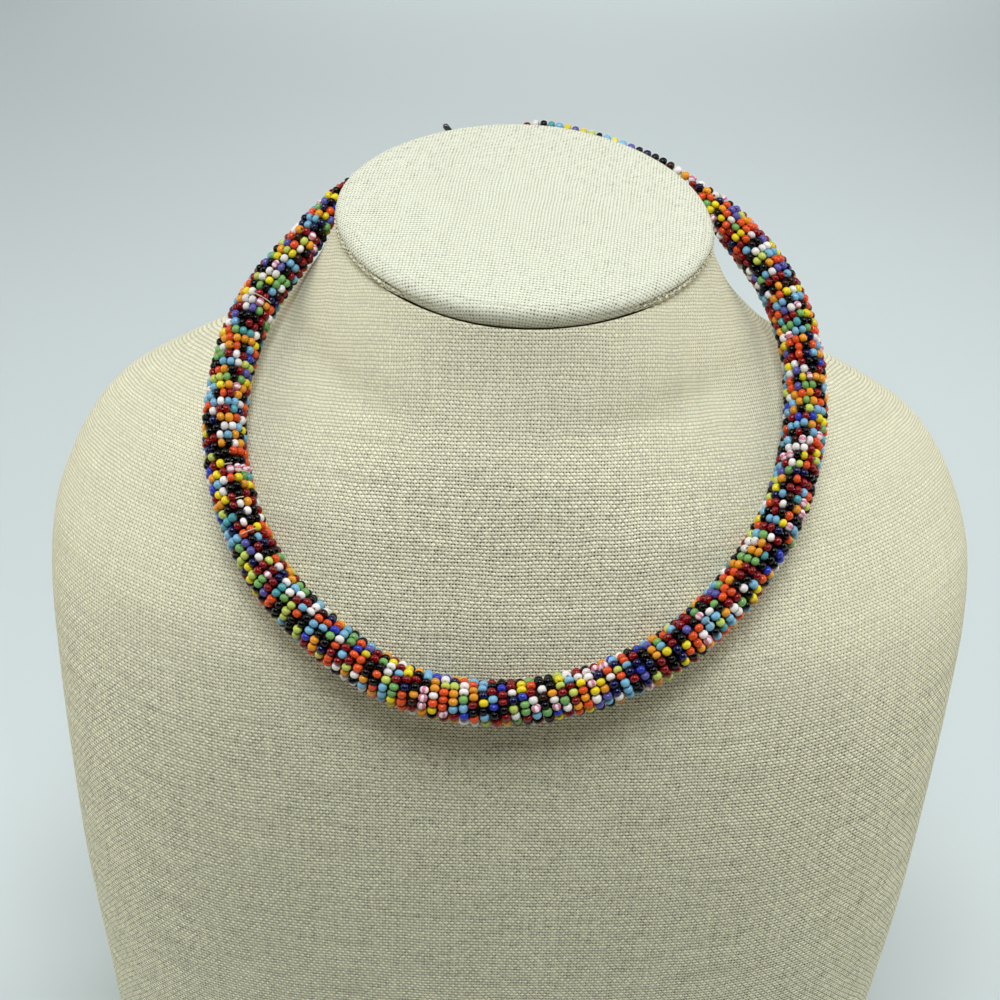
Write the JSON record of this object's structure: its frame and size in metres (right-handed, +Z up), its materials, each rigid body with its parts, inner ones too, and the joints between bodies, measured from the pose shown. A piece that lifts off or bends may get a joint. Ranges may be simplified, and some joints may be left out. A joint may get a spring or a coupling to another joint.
{
  "type": "beaded collar necklace on a neck bust",
  "caption": "Rope collar of multicolour glass seed beads, thinning to single strands at a hook clasp, lying round the neck of a linen-covered display bust.",
  "frame": {"origin": "middle of the flat base, on the surface that the bust stands on", "axes": "+Z up, -Y out of the chest, +X to the right of a viewer who faces the chest"},
  "size_m": [0.2322, 0.1327, 0.2832],
  "materials": {
    "linen": "plain-woven natural linen, matt",
    "beads": "opaque and dark transparent glass seed beads in many colours, glossy",
    "metal": "dark plated, satin"
  },
  "bodies": {
    "root": {"bust_body": "linen", "neck_cap": "linen", "bead_rope": "beads", "right_strand": "beads", "left_strand": "beads", "lobster_clasp": "metal", "end_ring": "metal"}
  },
  "joints": []
}
